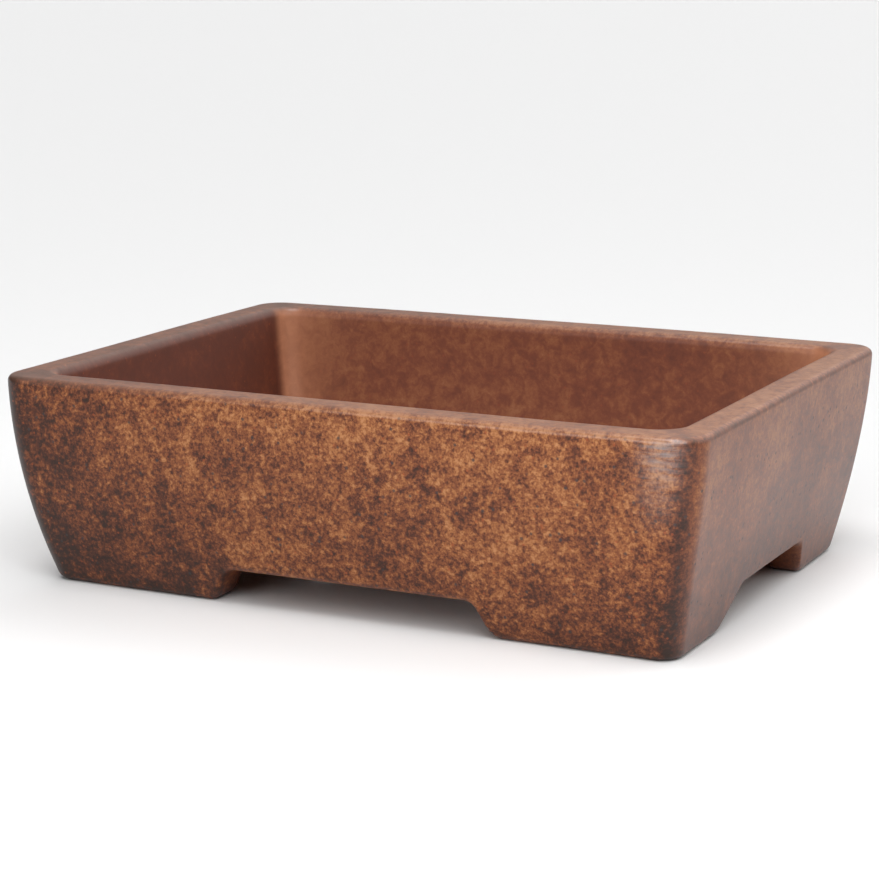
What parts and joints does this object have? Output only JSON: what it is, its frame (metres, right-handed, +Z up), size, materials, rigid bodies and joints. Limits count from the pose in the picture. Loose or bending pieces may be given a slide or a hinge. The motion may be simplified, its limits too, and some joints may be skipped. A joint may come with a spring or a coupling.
{
  "type": "bonsai pot",
  "caption": "Shallow rectangular stoneware bonsai pot on four cut feet, with drain holes covered by clipped netting squares.",
  "frame": {"origin": "on the ground under the middle of the pot: the bottom centre of its box", "axes": "+X along the pot's length, +Y from its front to its back, +Z up out of the mouth"},
  "size_m": [0.2498, 0.18, 0.072],
  "materials": {
    "stoneware": "unglazed, speckled brown, satin where it is rubbed",
    "netting": "moulded, matt",
    "clip_wire": "drawn, satin"
  },
  "bodies": {
    "root": {"pot_body": "stoneware", "drain_screen_left": "netting", "drain_screen_right": "netting", "screen_clip_left": "clip_wire", "screen_clip_right": "clip_wire"}
  },
  "joints": []
}
